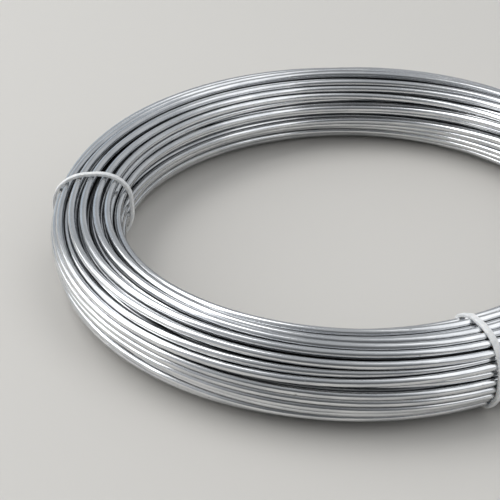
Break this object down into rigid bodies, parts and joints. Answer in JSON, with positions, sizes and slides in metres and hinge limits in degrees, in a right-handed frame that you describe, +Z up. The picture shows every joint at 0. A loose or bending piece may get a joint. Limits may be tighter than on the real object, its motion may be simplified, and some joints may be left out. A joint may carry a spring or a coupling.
{
  "type": "coil of galvanized wire",
  "caption": "Round coil of bright galvanized steel wire lying flat, its turns bundled and held by slim white nylon cable ties.",
  "frame": {"origin": "on the axis of the coil, at the level that it rests on", "axes": "+Z up along the coil's axis; angles round the coil run anticlockwise from +X, with the ties at 168, 285.3 and 28 degrees; the picture looks from the side of -Y and a little -X"},
  "size_m": [0.238, 0.238, 0.0338],
  "materials": {
    "galvanized_wire": "bright drawn zinc coat, smooth with fine lengthwise drawing lines",
    "nylon_tie": "natural white nylon, slightly glossy"
  },
  "bodies": {
    "root": {"wire_coil": "galvanized_wire", "tie_left": "nylon_tie", "tie_front": "nylon_tie", "tie_right": "nylon_tie"}
  },
  "joints": []
}
